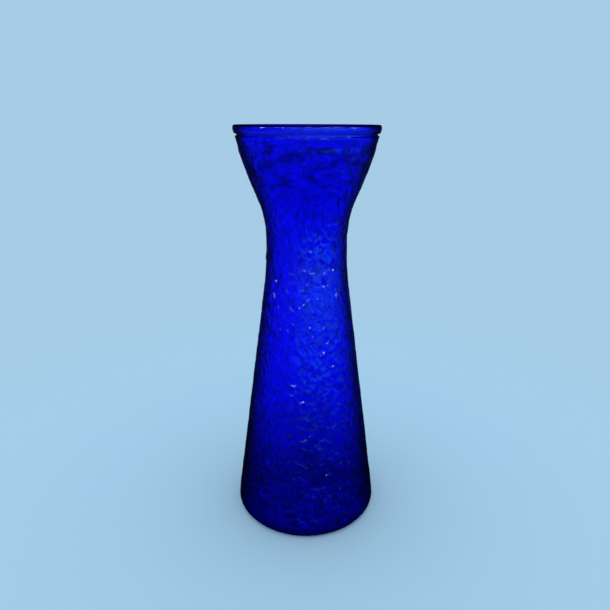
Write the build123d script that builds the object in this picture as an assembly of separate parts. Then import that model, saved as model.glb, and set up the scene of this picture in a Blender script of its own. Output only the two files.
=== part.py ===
from build123d import *
import math
import os

# A hyacinth forcing vase of mould-blown glass: a flared cup that holds the bulb clear of
# the water, a narrow waist, and a tall chamber that widens downwards for the roots.
# It is one moulding, written here as its zones, which meet face to face on level planes.
# Millimetres, +Z up. The origin is on the axis, at the surface that the foot stands on.

# Wall
glass_wall = 3.0                 # cup, waist and top of the chamber

# Root chamber
base_diameter = 78.6             # where the line of the flank meets the floor
flank_sweep_radius = 186.0       # arc that takes the flank up into the waist
heel_radius = 3.0                # outer edge between flank and foot
heel_wall = 3.6                  # the glass gathers a little towards the heel

# Waist
waist_diameter = 40.3
waist_height = 151.3             # narrowest level, above the standing surface
throat_radius = 55.6             # arc from the waist up into the cup

# Cup, where the bulb sits
cup_rise = 53.7                  # from the waist's narrowest level to the top of the rim
flare_angle = 22.6               # steepest lean of the cup, in degrees from the axis
collar_diameter = 67.6           # top of the cup's wall, under the groove
collar_height = 3.9              # smooth stretch between the crackled wall and the groove
collar_edge_radius = 0.4

# Rim
rim_diameter = 69.3
rim_wall = 3.4
band_height = 3.9                # from the groove's upper edge to the top of the rim
band_draw_in = 0.6               # the band is this much smaller in radius at its lower edge
band_draw_height = 1.7           # height over which it draws in
groove_width = 0.9
groove_depth = 0.8               # below the collar
rim_edge_radius = 1.1

# Base and foot
foot_width = 11.3                # from the line of the flank in to the recess
floor_thickness = 3.5            # from the standing surface to the inside floor
floor_corner_radius = 2.5        # inside corner between floor and flank
base_rise_share = 1.5            # height of the base over the floor, in inside corner radii
recess_depth = 1.2               # hollow under the base
recess_draft = 1.2               # the recess narrows by this much in radius to its ceiling
recess_edge_radius = 0.5

# Sizes that follow
height = waist_height + cup_rise
base_radius = base_diameter / 2
waist_radius = waist_diameter / 2
collar_radius = collar_diameter / 2
rim_radius = rim_diameter / 2
recess_radius = base_radius - foot_width
band_bottom = height - band_height
collar_top = band_bottom - groove_width
collar_bottom = collar_top - collar_height
groove_middle = band_bottom - groove_width / 2
base_top = floor_thickness + base_rise_share * floor_corner_radius

# The two arcs that meet at the waist have their centres outside the glass, at its level
flank_centre = Vector(waist_radius + flank_sweep_radius, waist_height)
throat_centre = Vector(waist_radius + throat_radius, waist_height)


def on_arc(centre, radius, lean):
    """Point of a waist arc where its wall leans by this many degrees; minus is below."""
    turn = math.radians(lean)
    return centre + Vector(-math.cos(turn), math.sin(turn)) * radius


def flank_lean(foot_radius, radius):
    """Lean of the straight line from the floor, at foot_radius, that touches the arc."""
    across = flank_centre.X - foot_radius
    reach = math.hypot(across, waist_height)
    return math.degrees(math.atan2(waist_height, across) - math.acos(radius / reach))


outer_lean = flank_lean(base_radius, flank_sweep_radius)
inner_lean = flank_lean(base_radius - heel_wall, flank_sweep_radius + glass_wall)
chamber_top = on_arc(flank_centre, flank_sweep_radius, -outer_lean).Y
throat_top = on_arc(throat_centre, throat_radius, flare_angle).Y


def wall_face(inset, lean, foot_radius, floor_level, top_point):
    """One face of the glass wall, from the floor to the top of the cup, as five edges.

    The inset is how far the face lies inside the outer surface at the waist."""
    sweep_radius = flank_sweep_radius + inset
    cup_radius = throat_radius + inset
    tilt = math.tan(math.radians(lean))
    foot_point = Vector(foot_radius - floor_level * tilt, floor_level)
    Line(foot_point, on_arc(flank_centre, sweep_radius, -lean))
    CenterArc(flank_centre, sweep_radius, 180, lean)
    CenterArc(throat_centre, cup_radius, 180, -flare_angle)
    steepest = on_arc(throat_centre, cup_radius, flare_angle)
    turn = math.radians(flare_angle)
    TangentArc(steepest, top_point, tangent=(math.sin(turn), math.cos(turn)))
    return foot_point


def vessel_section():
    """Half section of the whole vase, in the XZ plane."""
    ceiling_centre = Vector(0, recess_depth)
    ceiling_edge = Vector(recess_radius - recess_draft, recess_depth)
    foot_inner = Vector(recess_radius, 0)
    heel = Vector(base_radius, 0)
    collar_edge = Vector(collar_radius, collar_top)
    groove_low = Vector(collar_radius - groove_depth, collar_top)
    groove_high = Vector(collar_radius - groove_depth, band_bottom)
    band_edge = Vector(rim_radius - band_draw_in, band_bottom)
    band_full = Vector(rim_radius, band_bottom + band_draw_height)
    rim_outer = Vector(rim_radius, height)
    rim_inner = Vector(rim_radius - rim_wall, height)
    cup_inner = Vector(collar_radius - glass_wall, collar_top)
    floor_centre = Vector(0, floor_thickness)

    with BuildLine() as outline:
        Polyline(ceiling_centre, ceiling_edge, foot_inner, heel)
        wall_face(0, outer_lean, base_radius, 0, collar_edge)
        Polyline(
            collar_edge, groove_low, groove_high, band_edge, band_full, rim_outer,
            rim_inner, cup_inner,
        )
        floor_corner = wall_face(
            glass_wall, inner_lean, base_radius - heel_wall, floor_thickness, cup_inner
        )
        Polyline(floor_corner, floor_centre, ceiling_centre)
    section = make_face(outline.line)
    for point, radius in (
        (foot_inner, recess_edge_radius),
        (heel, heel_radius),
        (collar_edge, collar_edge_radius),
        (band_edge, collar_edge_radius),
        (rim_outer, rim_edge_radius),
        (rim_inner, rim_edge_radius),
        (floor_corner, floor_corner_radius),
    ):
        section = fillet(section.vertices().sort_by_distance(point)[0], radius)
    return Plane.XZ * section


def zone(section, low, high):
    """The ring of glass between two levels."""
    slab = Plane.XZ * Pos(base_radius, (low + high) / 2) * Rectangle(base_diameter, high - low)
    return revolve(section & slab, Axis.Z)


zone_levels = {
    "foot_ring": (0, recess_depth),
    "base": (recess_depth, base_top),
    "root_chamber": (base_top, chamber_top),
    "waist": (chamber_top, throat_top),
    "bulb_cup": (throat_top, collar_bottom),
    "collar": (collar_bottom, groove_middle),
    "rim_band": (groove_middle, height),
}

os.makedirs("parts", exist_ok=True)
vessel = vessel_section()
for name, (low, high) in zone_levels.items():
    ring = zone(vessel, low, high)
    ring.label = name
    export_step(ring, f"parts/{name}.step")
    print(f"{name}: level {low:.2f} to {high:.2f} mm, volume {ring.volume:.0f} mm3")
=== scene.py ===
import math

import bpy
import numpy as np
from mathutils import Matrix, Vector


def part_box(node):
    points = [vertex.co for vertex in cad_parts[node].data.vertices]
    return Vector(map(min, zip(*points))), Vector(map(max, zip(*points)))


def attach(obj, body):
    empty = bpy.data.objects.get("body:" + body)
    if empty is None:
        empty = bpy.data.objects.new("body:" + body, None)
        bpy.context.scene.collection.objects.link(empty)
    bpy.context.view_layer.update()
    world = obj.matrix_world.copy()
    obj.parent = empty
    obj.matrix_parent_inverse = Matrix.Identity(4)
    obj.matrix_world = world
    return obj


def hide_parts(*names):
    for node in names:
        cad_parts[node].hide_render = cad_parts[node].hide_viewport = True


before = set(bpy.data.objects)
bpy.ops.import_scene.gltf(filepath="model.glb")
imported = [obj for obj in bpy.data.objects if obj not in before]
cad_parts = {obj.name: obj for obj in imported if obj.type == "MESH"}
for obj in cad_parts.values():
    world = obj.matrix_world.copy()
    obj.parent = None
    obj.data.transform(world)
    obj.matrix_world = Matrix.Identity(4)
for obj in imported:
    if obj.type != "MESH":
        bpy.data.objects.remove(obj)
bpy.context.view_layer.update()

# A hyacinth forcing vase of mould-blown cobalt glass, with a crackle of raised veins on its
# outside. Metres, +Z up, in the frame of the construction model: the origin is on the axis,
# at the surface that the foot stands on. A point of a profile is (radius, level).

mm = 0.001

# Outside of the vessel
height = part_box("rim_band")[1].z
base_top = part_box("base")[1].z
throat_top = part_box("waist")[1].z
collar_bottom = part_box("bulb_cup")[1].z
base_radius = 39.3 * mm
flank_sweep_radius = 186.0 * mm
heel_radius = 3.0 * mm
waist_radius = 20.15 * mm
waist_height = 151.3 * mm
throat_radius = 55.6 * mm
flare_angle = 22.6
collar_radius = 33.8 * mm
edge_radius = 0.4 * mm
rim_radius = 34.65 * mm
rim_edge_radius = 1.1 * mm
band_bottom = height - 3.9 * mm
band_draw_in = 0.6 * mm
band_draw_height = 1.7 * mm
collar_top = band_bottom - 0.9 * mm
groove_depth = 0.8 * mm

# Wall, inside and foot
glass_wall = 3.0 * mm
heel_wall = 3.6 * mm
rim_wall = 3.4 * mm
floor_thickness = 3.5 * mm
floor_corner_radius = 2.5 * mm
recess_radius = 28.0 * mm
recess_depth = 1.2 * mm
recess_draft = 1.2 * mm
recess_edge_radius = 0.5 * mm

# Crackle: raised veins round irregular cells, the same number of cells at every level
cells_round = 56
cell_levels = (0.0, 90 * mm, 150 * mm, 172 * mm, 196 * mm)
cell_heights = (4.4 * mm, 4.8 * mm, 7.6 * mm, 5.4 * mm, 4.2 * mm)
least_cell_width = 1.0 * mm
cell_seed = 7
cell_jitter_share = 0.86
cell_gap_share = 0.14            # of the cells are left out, and their neighbours fill the gap
cell_slope = 0.09                # steepest slant of a cell's face, each way
cell_border = 0.9 * mm           # width over which the slant comes in beside a vein
warp_share = 0.22                # of a cell, by which noise moves the pattern
warp_seeds = (11, 12)
warp_rows = 1.3                  # rows of that noise to a row of cells
vein_height = 0.17 * mm
vein_half_width = 0.42 * mm
cup_vein_share = 0.5             # by which veins are wider in the cup
vein_swing_share = 0.55          # by which noise makes veins higher and lower
vein_swing_rows = 0.9
vein_swing_seed = 13
relief_levels = (60 * mm, 110 * mm, 160 * mm, 180 * mm)
relief_shares = (1.35, 1.15, 0.75, 0.85)      # of vein_height, at those levels
grain_height = 0.05 * mm
grain_columns = 96
grain_row = 2.0 * mm
grain_seed = 14

# How far the outside lies inside the outline of the construction model, veins apart
sink_levels = (0 * mm, 70 * mm, 130 * mm, 165 * mm, 178 * mm, 190 * mm)
sink_depths = (0.5 * mm, 0.42 * mm, 0.28 * mm, 0.14 * mm, -0.1 * mm, -0.2 * mm)
sink_start = (base_radius - heel_radius, base_radius - 1 * mm)   # radii, under the heel

# Levels over which the relief comes in above the foot, changes to the cup's and goes out
relief_start = (1 * mm, 9 * mm)
relief_cup = (throat_top - 6 * mm, throat_top + 8 * mm)
relief_end = (collar_bottom - 3 * mm, collar_bottom)
heel_rows = 3                    # rows under the widest one that still have relief

# Waves that blowing leaves on the inside: their height, and the rows and columns of noise
inside_wave = 0.12 * mm
inside_wave_row = 9.0 * mm
fine_wave_share = 0.6
fine_wave_rows = 1.7             # to an inside_wave_row
fine_wave_columns = 26
fine_wave_seed = 21
broad_wave_rows = 0.8
broad_wave_columns = 13
broad_wave_seed = 22
cup_wave = 0.35 * mm
cup_wave_row = 5.0 * mm
cup_wave_columns = 20
cup_wave_seed = 23
heel_wave = 0.45 * mm
heel_wave_row = 3.0 * mm
heel_wave_columns = 34
heel_wave_seed = 24
wave_floor = (4 * mm, 14 * mm)   # radii over which the waves come in on the floor
wave_heel = (base_top, base_top + 10 * mm)
wave_cup = (throat_top - 12 * mm, throat_top + 6 * mm)
wave_end = (collar_bottom - 4 * mm, collar_bottom)

# Glass
refraction = 1.5
body_density = 1000.0            # per metre
body_colour = (0.0, 0.03, 0.992)
coat_weight = 0.12
coat_roughness = 0.3
skin_scale = 520.0               # grain of the surface, cells to a metre
skin_depth = 0.10 * mm
haze_scale = 60.0
haze_detail = 3.0
haze_roughness = (0.01, 0.07)
foot_roughness = 0.5             # of the ground underside
foot_levels = (1.6 * mm, 2.4 * mm)            # over which that finish ends
# Painted shade: the outside's colour darkens where it turns away from the eye, a dark outline
edge_facing = (0.5, 0.7)         # how far the outside turns away where its edge darkens
painted_edge_shade_clear = 0.03

# Clouds in the colour of the glass; a cloud is its size across and how many times as tall
cloud_spread = (0.33, 0.53)      # noise at which a cloud is darkest and clearest
cloud_detail = 1.0
grain_cloud = (2.2 * mm, 1.2)
streak_cloud = (1.7 * mm, 3.5)
patch_cloud = (6.5 * mm, 0.5)
low_cloud = (5.0 * mm, 0.8)
fine_clear = 0.56                # light that the darkest of them pass
patch_clear = 0.3
low_clear = 0.42
low_levels = (25 * mm, 60 * mm)
streak_levels = (105 * mm, 130 * mm)
patch_levels = (172 * mm, 184 * mm)
clear_levels = (collar_bottom - 0.5 * mm, collar_bottom + 1.5 * mm)
# Painted shade: the top of the rim darkened to a near-black line
painted_lip_shade_levels = (height - 1.5 * mm, height - 0.7 * mm)
painted_lip_shade_clear = 0.06

# Mesh
columns_outside = 640
columns_inside = 320
row_outside = 0.52 * mm
row_inside = 2.4 * mm
row_turn = math.radians(16)
arc_step = 0.4 * mm
arc_turn = math.radians(3)
corner_reach = 1.001             # of a corner's own reach, within which points of a line go

# Camera, at the photograph's angle
photo_size = 610
camera_place = (-0.75 * mm, -262.0 * mm, 207.0 * mm)
camera_pitch = 19.14
camera_roll = 0.16
camera_focal_px = 533.2
sensor_width = 36.0

# Studio: a plain pale floor and backdrop, under even light
studio_colour = (0.38, 0.60, 0.79)
fill_colour = (0.92, 0.98, 1.0)
fill_strength = 1.08
floor_half = 12.0                # from the middle to an edge, in metres
floor_clearance = 0.1 * mm
floor_fade = (0.12, 0.38)        # reach over which the floor runs out into the backdrop

# The backdrop as glass shows it
glow_colour = (0.16, 0.38, 1.0)
glow_side = 2                    # degrees to the right of straight behind
glow_by_angle = (                # degrees from there, and the strength
    (0, 1.06), (8, 1.1), (13, 1.28), (20, 1.34), (24, 0.95), (28, 0.34), (34, 0.27), (60, 0.3),
    (90, 0.36), (180, 0.38),
)
glow_by_height = (               # degrees from straight down, and the share of the strength
    (0, 1.0), (78, 1.0), (84, 0.88), (86, 0.82), (87.5, 0.74), (89.5, 0.88), (92, 0.85), (95, 0.65),
    (100, 0.35), (110, 0.12), (180, 0.12),
)
gloss_share = 0.06               # of the glow, in what the outside mirrors
mottle_scale = 40.0              # unevenness of the glow
mottle_depth = 3.0
mottle_detail = 2.0
seen_from = (0, -40 * mm, 100 * mm)           # from here a place on the floor is a direction
shade_at_foot = 0.41             # of the floor's glow, where the vase shades it
shade_reach = (15 * mm, 180 * mm)
even_reach = (28 * mm, 38 * mm)  # under the vase the floor is as bright on every side

# A wide low window in front, as glass mirrors it, in degrees
window_colour = (0.05, 0.75, 1.0)
window_strength = 0.9
window_side = 35                 # from straight in front, to the right
window_width = (12, 80)
window_level = -3
window_height = (2, 10)

# Lamps in front that the veins mirror; a place is degrees to the right and degrees up
lamp_places = ((-70, 18), (-42, 24), (-20, 16), (2, 24), (24, 16), (46, 23), (72, 17))
lamp_aim = (0, 0, 90 * mm)
lamp_distance = 800 * mm
lamp_size = (200 * mm, 60 * mm)
lamp_power = 0.95
lamp_colour = (0.45, 0.72, 1.0)


def arc(centre, radius, start, end):
    """Points along an arc; the angles are in degrees, from +radius towards +level."""
    span = math.radians(abs(end - start))
    count = 2 + int(max(span * radius / arc_step, span / arc_turn))
    turn = np.radians(np.linspace(start, end, count))
    return np.array(centre) + radius * np.stack([np.cos(turn), np.sin(turn)], axis=1)


def tangent_arc(start, lean, end):
    """Arc that leaves start at this lean from the axis, in degrees, and ends at end."""
    chord = np.array(end) - np.array(start)
    chord_lean = math.degrees(math.atan2(chord[0], chord[1]))
    half_turn = lean - chord_lean
    radius = np.hypot(*chord) / (2 * math.sin(math.radians(abs(half_turn))))
    side = math.copysign(1, half_turn)
    out = math.radians(lean)
    centre = np.array(start) + side * radius * np.array([-math.cos(out), math.sin(out)])
    first = (0 if side > 0 else 180) - lean
    return arc(centre, radius, first, first + side * abs(2 * half_turn))


def flank_lean(foot_radius, radius):
    """Lean of the straight line from the floor that touches the flank's arc."""
    across = waist_radius + flank_sweep_radius - foot_radius
    reach = math.hypot(across, waist_height)
    return math.degrees(math.atan2(waist_height, across) - math.acos(radius / reach))


def wall_line(inset, foot_radius, floor_level, top_point):
    """One face of the wall, from the floor up to top_point."""
    lean = flank_lean(foot_radius, flank_sweep_radius + inset)
    foot = (foot_radius - floor_level * math.tan(math.radians(lean)), floor_level)
    flank_centre = (waist_radius + flank_sweep_radius, waist_height)
    throat_centre = (waist_radius + throat_radius, waist_height)
    flank = arc(flank_centre, flank_sweep_radius + inset, 180 + lean, 180)
    throat = arc(throat_centre, throat_radius + inset, 180, 180 - flare_angle)
    cup = tangent_arc(throat[-1], flare_angle, top_point)
    return np.concatenate([[foot], flank, throat[1:], cup[1:]])


def rounded(before, after, radius):
    """Two lines that share a corner, as one line with the corner rounded."""
    before, after = np.array(before), np.array(after)
    corner = after[0]
    way_in = corner - before[-2]
    way_in /= np.hypot(*way_in)
    way_out = after[1] - corner
    way_out /= np.hypot(*way_out)
    turn = math.atan2(np.cross(way_in, way_out), np.dot(way_in, way_out))
    reach = radius * math.tan(abs(turn) / 2)
    side = math.copysign(1, turn)
    inward = side * np.array([-way_in[1], way_in[0]])
    centre = corner - way_in * reach + inward * radius
    first = math.degrees(math.atan2(-inward[1], -inward[0]))
    bend = arc(centre, radius, first, first + math.degrees(turn))
    before = before[np.hypot(*(before - corner).T) > reach * corner_reach]
    after = after[np.hypot(*(after - corner).T) > reach * corner_reach]
    return np.concatenate([before, bend, after])


def outside_profile():
    """From the middle of the recess, over the foot and up the outside, to the rim's top."""
    collar_edge = (collar_radius, collar_top)
    line = rounded(
        [(0, recess_depth), (recess_radius - recess_draft, recess_depth), (recess_radius, 0)],
        [(recess_radius, 0), (base_radius, 0)],
        recess_edge_radius,
    )
    line = rounded(line, wall_line(0, base_radius, 0, collar_edge), heel_radius)
    groove_radius = collar_radius - groove_depth
    line = rounded(line, [collar_edge, (groove_radius, collar_top)], edge_radius)
    band_edge = (rim_radius - band_draw_in, band_bottom)
    line = np.concatenate([line, [(groove_radius, band_bottom), band_edge]])
    band = [band_edge, (rim_radius, band_bottom + band_draw_height), (rim_radius, height)]
    line = rounded(line, band, edge_radius)
    rim_top = [(rim_radius, height), (rim_radius - rim_wall / 2, height)]
    return rounded(line, rim_top, rim_edge_radius)


def inside_profile():
    """From the rim's top down the inside, to the middle of the floor."""
    rim_inner = (rim_radius - rim_wall, height)
    cup_edge = (collar_radius - glass_wall, collar_top)
    wall = wall_line(glass_wall, base_radius - heel_wall, floor_thickness, cup_edge)[::-1]
    rim_top = [(rim_radius - rim_wall / 2, height), rim_inner]
    line = rounded(rim_top, [rim_inner, cup_edge], rim_edge_radius)
    line = np.concatenate([line, wall[1:]])
    return rounded(line, [wall[-1], (0, floor_thickness)], floor_corner_radius)


def spaced(line, step):
    """The line as rows about one step apart, and closer together where it turns."""
    leg = np.diff(line, axis=0)
    length = np.hypot(leg[:, 0], leg[:, 1])
    heading = np.unwrap(np.arctan2(leg[:, 1], leg[:, 0]))
    turn = np.abs(np.diff(heading)) / row_turn / 2
    rows = length / step
    rows[:-1] += turn
    rows[1:] += turn
    done = np.concatenate([[0], np.cumsum(rows)])
    wanted = np.linspace(0, done[-1], 1 + round(done[-1]))
    return np.stack([np.interp(wanted, done, line[:, i]) for i in (0, 1)], axis=1)


def outward(line):
    """Unit normals of a profile that runs with the glass on its left."""
    along = np.gradient(line, axis=0)
    along /= np.hypot(along[:, 0], along[:, 1])[:, None]
    return np.stack([along[:, 1], -along[:, 0]], axis=1)


def smooth(low, high, value):
    """0 below low, 1 above high, and an even ease between them."""
    share = np.clip((value - low) / (high - low), 0, 1)
    return share * share * (3 - 2 * share)


def soft_noise(seed, across, up, columns):
    """Smooth noise between -1 and 1; across is in turns and closes, up is in noise cells."""
    rows = int(np.max(up)) + 3
    knots = np.random.default_rng(seed).uniform(-1, 1, (rows, columns))
    place = across * columns
    column = np.floor(place).astype(int)
    row = np.floor(up).astype(int)
    ease_across = smooth(0, 1, place - column)
    ease_up = smooth(0, 1, up - row)
    level = [
        knots[row + i, column % columns] * (1 - ease_across)
        + knots[row + i, (column + 1) % columns] * ease_across
        for i in (0, 1)
    ]
    return level[0] * (1 - ease_up) + level[1] * ease_up


def crackle_cells(across, up, width, tall):
    """Distance to the nearest cell border, and the rise of each cell's own slant, in metres.

    across and up are in cells; width and tall are a cell's real size at each point. A cell
    that is left out is put away, out of reach of every point."""
    random = np.random.default_rng(cell_seed)
    rows = int(np.max(up)) + 6
    shift = 0.5 + cell_jitter_share * random.uniform(-0.5, 0.5, (rows, cells_round, 2))
    gap = random.uniform(0, 1, (rows, cells_round)) < cell_gap_share
    slant = random.uniform(-1, 1, (rows, cells_round, 2))
    column = np.floor(across).astype(int)
    row = np.floor(up).astype(int)
    away = 9.0
    x, y, slants = [], [], []
    for j in range(-2, 3):
        for i in range(-2, 3):
            home = (row + j + 2, (column + i) % cells_round)
            far = np.where(gap[home], away, 0.0)
            x.append((column + i + shift[home][..., 0] - across + far) * width)
            y.append((row + j + shift[home][..., 1] - up + far) * tall)
            slants.append(-(slant[home] * np.stack([x[-1], y[-1]], axis=-1)).sum(axis=-1))
    x, y, slants = np.array(x), np.array(y), np.array(slants)
    reach = x * x + y * y
    nearest = np.argmin(reach, axis=0)[None]
    own_x, own_y, own_reach, own_slant = [
        np.take_along_axis(a, nearest, 0) for a in (x, y, reach, slants)
    ]
    apart = np.hypot(x - own_x, y - own_y)
    itself = apart == 0
    border = (reach - own_reach) / np.where(itself, 1.0, 2 * apart)
    border[itself] = np.inf
    return border.min(axis=0), own_slant[0]


def run_along(line):
    """Length of a line up to each of its points."""
    return np.concatenate([[0], np.cumsum(np.hypot(*np.diff(line, axis=0).T))])


def in_columns(values, turns):
    """The same value in every column of a row."""
    return np.repeat(values[:, None], len(turns), 1)


def sink(line):
    """How far each row of the outside lies inside the construction model's outline."""
    level = line[:, 1]
    depth = np.interp(level, sink_levels, sink_depths) * (1 - smooth(*relief_end, level))
    widest = np.argmax(line[:, 0])
    depth[:widest] *= smooth(*sink_start, line[:widest, 0])
    return depth


def crackle(turns, line):
    """Height of the relief over the outside profile, for each row and column."""
    level = line[:, 1]
    run = run_along(line)
    tall = np.interp(level, cell_levels, cell_heights)
    rise = np.concatenate([[0], np.cumsum(np.diff(run) / ((tall[1:] + tall[:-1]) / 2))])
    around, up = np.meshgrid(turns, rise)
    width = in_columns(2 * math.pi * line[:, 0] / cells_round, turns)
    width = np.maximum(width, least_cell_width)
    warps = [soft_noise(seed, around, up * warp_rows, cells_round) for seed in warp_seeds]
    across = around * cells_round + warp_share * warps[0]
    lifted = up + 1 + warp_share * warps[1]
    border, slant = crackle_cells(across % cells_round, lifted, width, in_columns(tall, turns))
    swing = soft_noise(vein_swing_seed, around, up * vein_swing_rows, cells_round)
    half_width = vein_half_width * (1 + cup_vein_share * smooth(*relief_cup, level)[:, None])
    profile = np.exp(-((border / half_width) ** 2))
    veins = vein_height * (1 + vein_swing_share * swing) * profile
    faces = cell_slope * slant * smooth(0, cell_border, border)
    grain_up = in_columns(run / grain_row, turns)
    grain = grain_height * soft_noise(grain_seed, around, grain_up, grain_columns)
    share = np.interp(level, relief_levels, relief_shares)[:, None]
    body = smooth(*relief_start, level) * (1 - smooth(*relief_end, level))
    body[: np.argmax(line[:, 0]) - heel_rows] = 0
    return (veins * share + faces + grain) * body[:, None] - sink(line)[:, None]


def waves(turns, line):
    """Slight waviness that blowing leaves on the inside, for each row and column."""
    level = line[:, 1]
    around, up = np.meshgrid(turns, (height - level) / inside_wave_row)
    fine = soft_noise(fine_wave_seed, around, up * fine_wave_rows, fine_wave_columns)
    broad = soft_noise(broad_wave_seed, around, up * broad_wave_rows, broad_wave_columns)
    everywhere = inside_wave * (fine_wave_share * fine + (1 - fine_wave_share) * broad)
    cup_up = up * (inside_wave_row / cup_wave_row)
    cup = cup_wave * soft_noise(cup_wave_seed, around, cup_up, cup_wave_columns)
    heel_up = in_columns(run_along(line) / heel_wave_row, turns)
    heel = heel_wave * soft_noise(heel_wave_seed, around, heel_up, heel_wave_columns)
    in_cup = smooth(*wave_cup, level)[:, None]
    at_heel = 1 - smooth(*wave_heel, level)[:, None]
    body = (1 - smooth(*wave_end, level)) * smooth(*wave_floor, line[:, 0])
    return (everywhere + cup * in_cup + heel * at_heel) * body[:, None]


def rings(line, height_map, turns):
    """Points of the rings of a profile, moved along its normals by the height map."""
    normal = outward(line)
    radius = line[:, :1] + normal[:, :1] * height_map
    level = line[:, 1:] + normal[:, 1:] * height_map
    angle = 2 * math.pi * turns
    return np.stack([radius * np.cos(angle), radius * np.sin(angle), level], axis=2)


def ring_faces(upper, lower, upper_count, lower_count):
    """Faces between two rings, given by their first points and how many points they have.

    The upper ring has as many points as the lower one, or half as many."""
    faces = []
    step = lower_count // upper_count
    for i in range(0, lower_count, step):
        near = lower + i
        far = lower + (i + step) % lower_count
        top = upper + i // step
        top_next = upper + (i // step + 1) % upper_count
        if step == 1:
            faces.append((near, far, top_next, top))
        else:
            middle = near + 1
            faces += [(near, middle, top), (middle, top_next, top), (middle, far, top_next)]
    return faces


def vessel_faces(counts):
    """Faces over rings with these numbers of points, closed by one point at either end."""
    faces = [(0, 1 + (i + 1) % counts[0], 1 + i) for i in range(counts[0])]
    start = 1
    for lower_count, upper_count in zip(counts, counts[1:]):
        faces += ring_faces(start + lower_count, start, upper_count, lower_count)
        start += lower_count
    last = start + counts[-1]
    faces += [(start + i, start + (i + 1) % counts[-1], last) for i in range(counts[-1])]
    return faces


def vessel():
    """The whole vase as one closed mesh, whose outside has the attribute outside."""
    outside = spaced(outside_profile(), row_outside)
    inside = spaced(inside_profile(), row_inside)
    turns = np.arange(columns_outside) / columns_outside
    turns_inside = np.arange(columns_inside) / columns_inside
    outer = rings(outside, crackle(turns, outside), turns)[1:]
    inner = rings(inside, -waves(turns_inside, inside), turns_inside)[1:-1]
    points = [(0, 0, recess_depth)]
    points += outer.reshape(-1, 3).tolist()
    points += inner.reshape(-1, 3).tolist()
    points.append((0, 0, floor_thickness))
    counts = [columns_outside] * len(outer) + [columns_inside] * len(inner)
    mesh = bpy.data.meshes.new("glass_vessel")
    mesh.from_pydata(points, [], vessel_faces(counts))
    mesh.shade_smooth()
    on_outside = [i <= len(outer) * columns_outside for i in range(len(points))]
    mesh.attributes.new("outside", "FLOAT", "POINT").data.foreach_set("value", on_outside)
    piece = bpy.data.objects.new("glass_vessel", mesh)
    bpy.context.collection.objects.link(piece)
    return piece


def node(tree, kind, **values):
    """A new node with its named input sockets set."""
    made = tree.nodes.new(kind)
    for name, value in values.items():
        made.inputs[name.replace("_", " ")].default_value = value
    return made


def noise(tree, place, scale, detail):
    """Soft noise at a place, as a socket."""
    made = node(tree, "ShaderNodeTexNoise", Scale=scale, Detail=detail)
    tree.links.new(place, made.inputs["Vector"])
    return made.outputs["Fac"]


def clouds(tree, place, clear, size, stretch):
    """How clear the glass is at a place: soft clouds of a size, stretched upwards, as a socket."""
    spread = vector_node(tree, "MULTIPLY", place, (1.0, 1.0, 1 / stretch)).outputs["Vector"]
    return ease(tree, noise(tree, spread, 1 / size, cloud_detail), *cloud_spread, clear, 1.0)


def blend(tree, share, first, second):
    """A value between two, by a share, as a socket."""
    gap = math_node(tree, "SUBTRACT", second, first)
    return math_node(tree, "MULTIPLY_ADD", gap, share, first)


def painted_edge_shade(tree):
    """Painted shade on the outline: share of light passed where the outside turns away, as a socket."""
    turned = node(tree, "ShaderNodeLayerWeight", Blend=0.5).outputs["Facing"]
    outside = tree.nodes.new("ShaderNodeAttribute")
    outside.attribute_name = "outside"
    passed = ease(tree, turned, *edge_facing, 1.0, painted_edge_shade_clear)
    return blend(tree, outside.outputs["Fac"], 1.0, passed)


def glass_tint(tree, place, level):
    """Share of the light that the surface passes on: clouds, and painted shade at the lip and edge, as
    a socket.
    """
    streaks = clouds(tree, place, fine_clear, *streak_cloud)
    grains = clouds(tree, place, fine_clear, *grain_cloud)
    patches = clouds(tree, place, patch_clear, *patch_cloud)
    low = clouds(tree, place, low_clear, *low_cloud)
    low = blend(tree, ease(tree, level, *low_levels, 0.0, 1.0), low, 1.0)
    tint = math_node(tree, "MULTIPLY", grains, low)
    tint = blend(tree, ease(tree, level, *streak_levels, 0.0, 1.0), tint, streaks)
    tint = blend(tree, ease(tree, level, *patch_levels, 0.0, 1.0), tint, patches)
    tint = math_node(tree, "MAXIMUM", tint, ease(tree, level, *clear_levels, 0.0, 1.0))
    # painted shade: a near-black line along the rim's top
    tint = math_node(tree, "MULTIPLY", tint, ease(tree, level, *painted_lip_shade_levels, 1.0, painted_lip_shade_clear))
    # painted shade along the outline
    return math_node(tree, "MULTIPLY", tint, painted_edge_shade(tree))


def glass_roughness(tree, place, level):
    """A faint uneven haze, and the ground underside, as a socket."""
    haze = node(tree, "ShaderNodeMapRange", To_Min=haze_roughness[0], To_Max=haze_roughness[1])
    tree.links.new(noise(tree, place, haze_scale, haze_detail), haze.inputs["Value"])
    foot = ease(tree, level, *foot_levels, foot_roughness, 0.0)
    return math_node(tree, "MAXIMUM", haze.outputs["Result"], foot)


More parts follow.
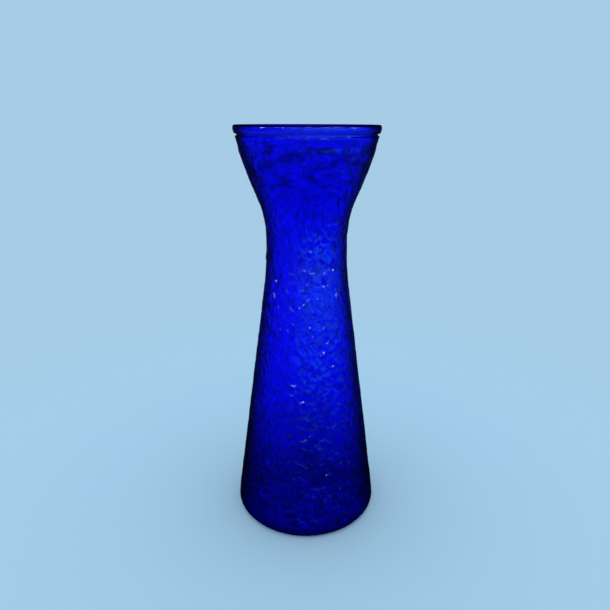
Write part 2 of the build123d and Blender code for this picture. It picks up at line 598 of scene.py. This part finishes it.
def cobalt_glass():
    """Clear glass whose cobalt absorbs red and green within a few millimetres."""
    material = bpy.data.materials.new("cobalt_glass")
    material.use_nodes = True
    tree = material.node_tree
    tree.nodes.clear()
    link = tree.links.new
    glass = node(
        tree, "ShaderNodeBsdfPrincipled", IOR=refraction, Transmission_Weight=1.0,
        Coat_Weight=coat_weight, Coat_Roughness=coat_roughness,
    )
    place = node(tree, "ShaderNodeTexCoord").outputs["Object"]
    parts = tree.nodes.new("ShaderNodeSeparateXYZ")
    link(place, parts.inputs["Vector"])
    level = parts.outputs["Z"]
    bump = node(tree, "ShaderNodeBump", Strength=1.0, Distance=skin_depth)
    link(noise(tree, place, skin_scale, 0.0), bump.inputs["Height"])
    link(bump.outputs["Normal"], glass.inputs["Normal"])
    link(glass_roughness(tree, place, level), glass.inputs["Roughness"])
    link(glass_tint(tree, place, level), glass.inputs["Base Color"])
    body = node(tree, "ShaderNodeVolumeAbsorption", Density=body_density, Color=(*body_colour, 1))
    out = node(tree, "ShaderNodeOutputMaterial")
    link(glass.outputs["BSDF"], out.inputs["Surface"])
    link(body.outputs["Volume"], out.inputs["Volume"])
    return material


def ease(tree, value, low, high, at_low, at_high):
    """A smooth step of a value, from at_low to at_high, as a socket."""
    step = node(tree, "ShaderNodeMapRange")
    step.interpolation_type = "SMOOTHSTEP"
    for name, number in zip(("From Min", "From Max", "To Min", "To Max"), (low, high, at_low, at_high)):
        step.inputs[name].default_value = number
    tree.links.new(value, step.inputs["Value"])
    return step.outputs["Result"]


def math_node(tree, operation, *values):
    """The result of a sum on sockets or numbers, as a socket."""
    made = tree.nodes.new("ShaderNodeMath")
    made.operation = operation
    for socket, value in zip(made.inputs, values):
        if isinstance(value, (int, float)):
            socket.default_value = value
        else:
            tree.links.new(value, socket)
    return made.outputs["Value"]


def vector_node(tree, operation, *values):
    """The result of a vector sum on sockets or vectors, as a node."""
    made = tree.nodes.new("ShaderNodeVectorMath")
    made.operation = operation
    for socket, value in zip(made.inputs, values):
        if isinstance(value, tuple):
            socket.default_value = value
        else:
            tree.links.new(value, socket)
    return made


def line_through(tree, value, stops):
    """A value read off the line through the stops, as a socket; a stop is (place, result)."""
    ramp = tree.nodes.new("ShaderNodeValToRGB")
    last = stops[-1][0]
    elements = ramp.color_ramp.elements
    for place, _ in stops[1:-1]:
        elements.new(place / last)
    for element, (_, result) in zip(elements, stops):
        element.color = (result, result, result, 1)
    tree.links.new(math_node(tree, "DIVIDE", value, last), ramp.inputs["Fac"])
    return ramp.outputs["Color"]


def turned_from(tree, direction, ahead):
    """Degrees that a direction is turned from the level direction ahead, as a socket."""
    level = vector_node(tree, "MULTIPLY", direction, (1.0, 1.0, 0.0)).outputs["Vector"]
    level = vector_node(tree, "NORMALIZE", level).outputs["Vector"]
    along = vector_node(tree, "DOT_PRODUCT", level, ahead).outputs["Value"]
    return math_node(tree, "DEGREES", math_node(tree, "ARCCOSINE", along))


def above_level(tree, direction):
    """Degrees that a direction rises above the horizon, as a socket."""
    whole = vector_node(tree, "NORMALIZE", direction).outputs["Vector"]
    upward = vector_node(tree, "DOT_PRODUCT", whole, (0.0, 0.0, 1.0)).outputs["Value"]
    return math_node(tree, "DEGREES", math_node(tree, "ARCSINE", upward))


def window_glow(tree, direction):
    """How bright a wide low window in front, to the right, is in a direction."""
    side = math.radians(window_side)
    aside = turned_from(tree, direction, (math.sin(side), -math.cos(side), 0.0))
    rise = math_node(tree, "SUBTRACT", above_level(tree, direction), window_level)
    across = ease(tree, aside, *window_width, 1.0, 0.0)
    upright = ease(tree, math_node(tree, "ABSOLUTE", rise), *window_height, 1.0, 0.0)
    return math_node(tree, "MULTIPLY", math_node(tree, "MULTIPLY", across, upright), window_strength)


def seen_by_glass(tree, kind, direction, sided=1.0, shade=1.0):
    """The backdrop and the window, as glass shows and mirrors them, as a shader."""
    rays = node(tree, "ShaderNodeLightPath").outputs
    mirrored = math_node(tree, "SUBTRACT", 1.0, rays["Is Transmission Ray"])
    gloss = math_node(tree, "MULTIPLY_ADD", mirrored, gloss_share - 1, 1.0)
    glow = math_node(tree, "MULTIPLY", backdrop_glow(tree, direction, sided), gloss)
    glow = math_node(tree, "MULTIPLY", glow, shade)
    window = math_node(tree, "MULTIPLY", window_glow(tree, direction), shade)
    both = tree.nodes.new("ShaderNodeAddShader")
    tree.links.new(shine(tree, kind, glow_colour, glow), both.inputs[0])
    tree.links.new(shine(tree, kind, window_colour, window), both.inputs[1])
    return both.outputs["Shader"]


def backdrop_glow(tree, direction, sided):
    """How bright the backdrop is in a direction, as glass shows it: full behind the vase,
    and less to the sides, in front and overhead. Where sided is 0, all sides are alike."""
    whole = vector_node(tree, "NORMALIZE", direction).outputs["Vector"]
    side = math.radians(glow_side)
    aside = turned_from(tree, direction, (math.sin(side), math.cos(side), 0.0))
    lifted = math_node(tree, "ADD", above_level(tree, direction), 90.0)
    sideways = math_node(tree, "SUBTRACT", line_through(tree, aside, glow_by_angle), 1.0)
    sideways = math_node(tree, "MULTIPLY_ADD", sideways, sided, 1.0)
    upwards = line_through(tree, lifted, glow_by_height)
    mottle = noise(tree, whole, mottle_scale, mottle_detail)
    mottle = math_node(tree, "MULTIPLY_ADD", mottle, mottle_depth, 1 - mottle_depth / 2)
    return math_node(tree, "MULTIPLY", math_node(tree, "MULTIPLY", sideways, upwards), mottle)


def mixed(tree, share, first, second):
    """Two shaders mixed by a share, as a socket."""
    mix = node(tree, "ShaderNodeMixShader")
    for socket, value in zip(mix.inputs, (share, first, second)):
        tree.links.new(value, socket)
    return mix.outputs["Shader"]


def shine(tree, kind, colour, strength):
    """A background or emission shader, as a socket."""
    made = node(tree, kind)
    made.inputs["Color"].default_value = (*colour, 1)
    if isinstance(strength, float):
        made.inputs["Strength"].default_value = strength
    else:
        tree.links.new(strength, made.inputs["Strength"])
    return made.outputs[0]


def studio_world():
    """Even soft light for matt surfaces, and the backdrop's glow for glass."""
    world = bpy.data.worlds.new("studio")
    bpy.context.scene.world = world
    world.use_nodes = True
    tree = world.node_tree
    tree.nodes.clear()
    place = node(tree, "ShaderNodeTexCoord").outputs["Generated"]
    rays = node(tree, "ShaderNodeLightPath").outputs
    kind = "ShaderNodeBackground"
    sky = seen_by_glass(tree, kind, place)
    sky = mixed(tree, rays["Is Camera Ray"], sky, shine(tree, kind, studio_colour, 1.0))
    sky = mixed(tree, rays["Is Diffuse Ray"], sky, shine(tree, kind, fill_colour, fill_strength))
    tree.links.new(sky, node(tree, "ShaderNodeOutputWorld").inputs["Surface"])


def floor_material():
    """Matt pale floor round the vase, which runs out into the backdrop's colour.

    Glass shows it with the backdrop's glow, dimmer near the foot, where the vase shades it."""
    material = bpy.data.materials.new("pale_floor")
    material.use_nodes = True
    tree = material.node_tree
    tree.nodes.clear()
    place = node(tree, "ShaderNodeNewGeometry").outputs["Position"]
    rays = node(tree, "ShaderNodeLightPath").outputs
    kind = "ShaderNodeEmission"
    reach = vector_node(tree, "LENGTH", place).outputs["Value"]
    through = math_node(tree, "MAXIMUM", rays["Is Transmission Ray"], rays["Is Glossy Ray"])
    shade = ease(tree, reach, *shade_reach, shade_at_foot, 1.0)
    outside = ease(tree, reach, *even_reach, 0.0, 1.0)
    seen = vector_node(tree, "SUBTRACT", place, seen_from).outputs["Vector"]
    glow = seen_by_glass(tree, kind, seen, outside, shade)
    matt = node(tree, "ShaderNodeBsdfDiffuse")
    matt.inputs["Color"].default_value = (*studio_colour, 1)
    fade = ease(tree, reach, *floor_fade, 0.0, 1.0)
    floor = mixed(tree, fade, matt.outputs["BSDF"], shine(tree, kind, studio_colour, 1.0))
    floor = mixed(tree, through, floor, glow)
    tree.links.new(floor, node(tree, "ShaderNodeOutputMaterial").inputs["Surface"])
    return material


def studio_floor():
    """A large pale floor."""
    corners = [
        (floor_half * x, floor_half * y, 0) for x, y in ((-1, -1), (1, -1), (1, 1), (-1, 1))
    ]
    mesh = bpy.data.meshes.new("studio_floor")
    mesh.from_pydata(corners, [], [(0, 1, 2, 3)])
    mesh.materials.append(floor_material())
    floor = bpy.data.objects.new("studio_floor", mesh)
    floor.location.z = -floor_clearance
    bpy.context.collection.objects.link(floor)


def glint_lamp(turn, rise):
    """A small lamp at these degrees to the right and up, seen only in what the glass mirrors."""
    lamp = bpy.data.lights.new(f"lamp_{turn}", "AREA")
    lamp.shape = "RECTANGLE"
    lamp.size, lamp.size_y = lamp_size
    lamp.energy = lamp_power
    lamp.color = lamp_colour
    holder = bpy.data.objects.new(f"lamp_{turn}", lamp)
    side = math.radians(turn)
    lift = math.radians(rise)
    level = lamp_distance * math.cos(lift)
    back = (level * math.sin(side), -level * math.cos(side), lamp_distance * math.sin(lift))
    holder.location = np.array(lamp_aim) + back
    holder.rotation_euler = (math.pi / 2 - lift, 0, side)
    holder.visible_camera = False
    holder.visible_diffuse = False
    holder.visible_transmission = False
    bpy.context.collection.objects.link(holder)


def camera():
    """The camera, at the photograph's viewing angle and distance."""
    lens = bpy.data.cameras.new("camera")
    lens.sensor_width = sensor_width
    lens.lens = camera_focal_px / photo_size * sensor_width
    holder = bpy.data.objects.new("camera", lens)
    pitch = Matrix.Rotation(math.radians(90 - camera_pitch), 4, "X")
    roll = Matrix.Rotation(math.radians(camera_roll), 4, "Z")
    holder.matrix_world = Matrix.Translation(camera_place) @ pitch @ roll
    bpy.context.collection.objects.link(holder)
    bpy.context.scene.camera = holder


glass_vessel = vessel()
glass_vessel.data.materials.append(cobalt_glass())
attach(glass_vessel, "root")
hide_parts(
    "foot_ring", "base", "root_chamber", "waist", "bulb_cup", "collar", "rim_band",
)

studio_world()
studio_floor()
for turn, rise in lamp_places:
    glint_lamp(turn, rise)
camera()
bpy.context.scene.view_settings.view_transform = "Standard"
